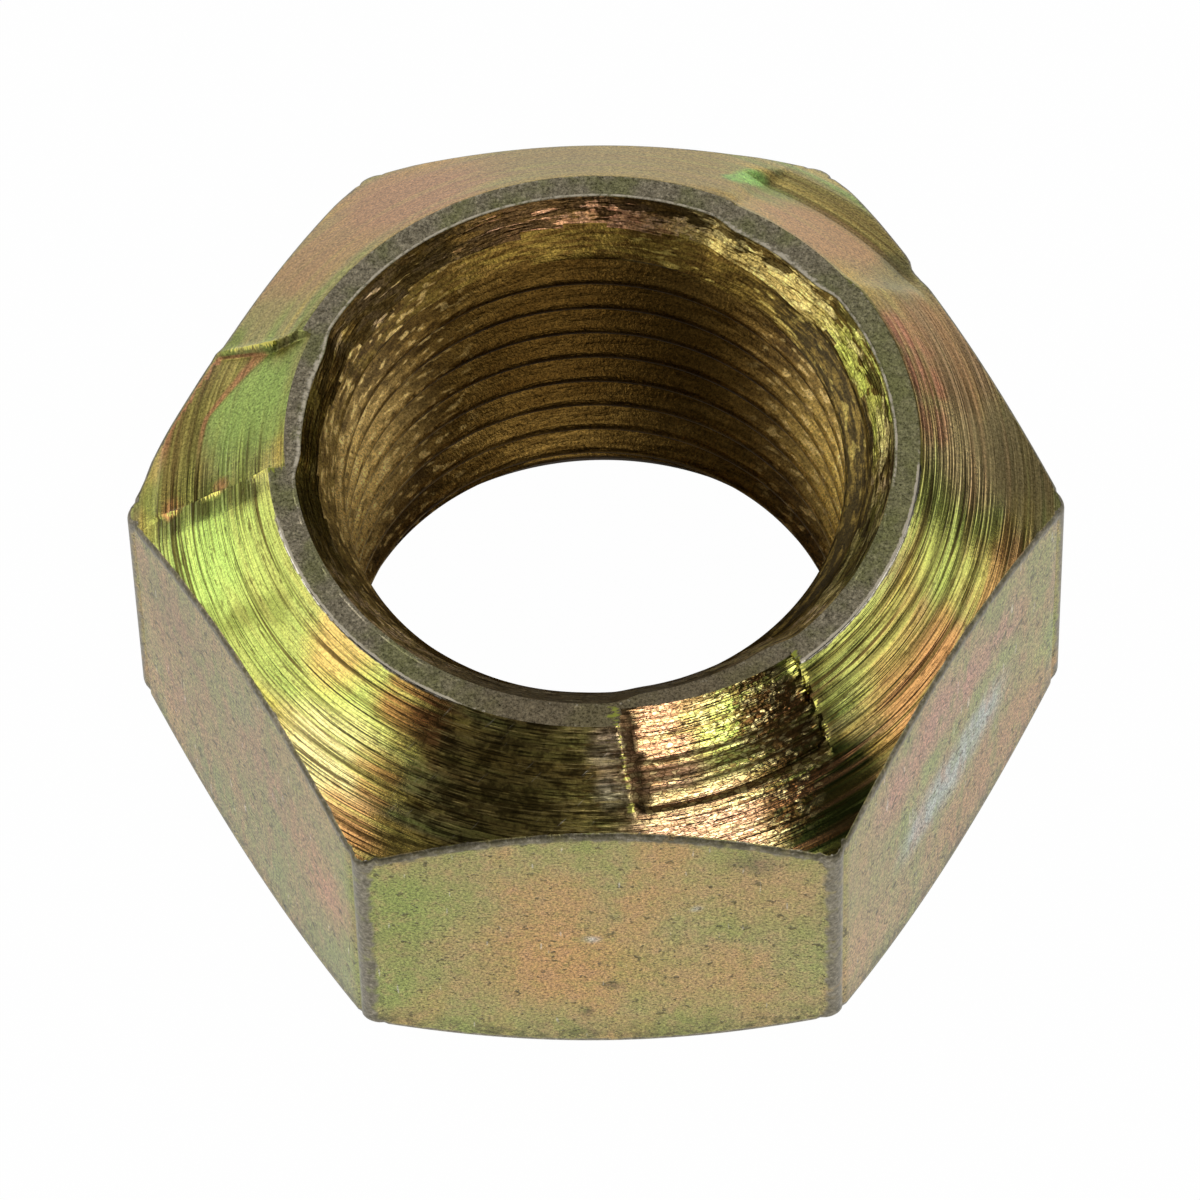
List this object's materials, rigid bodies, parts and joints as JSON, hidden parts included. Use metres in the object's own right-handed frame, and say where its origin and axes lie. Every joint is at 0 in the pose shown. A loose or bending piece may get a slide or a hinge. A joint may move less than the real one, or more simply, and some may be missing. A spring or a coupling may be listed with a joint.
{
  "type": "back nut",
  "caption": "Self-locking hexagon back nut, turned from one piece of steel, with a tall crimped cone above the flats, a fine thread through it and a chamfered bearing face",
  "frame": {"origin": "centre of the flat bearing face, on the thread's axis", "axes": "+Z along the thread from the bearing face towards the crimped cone, +X through two opposite corners of the hexagon, +Y square to two of its flats"},
  "size_m": [0.031, 0.027, 0.0163],
  "materials": {
    "plated_steel": "zinc plated with an iridescent yellow-green passivation, satin"
  },
  "bodies": {
    "root": {"back_nut": "plated_steel"}
  },
  "joints": []
}
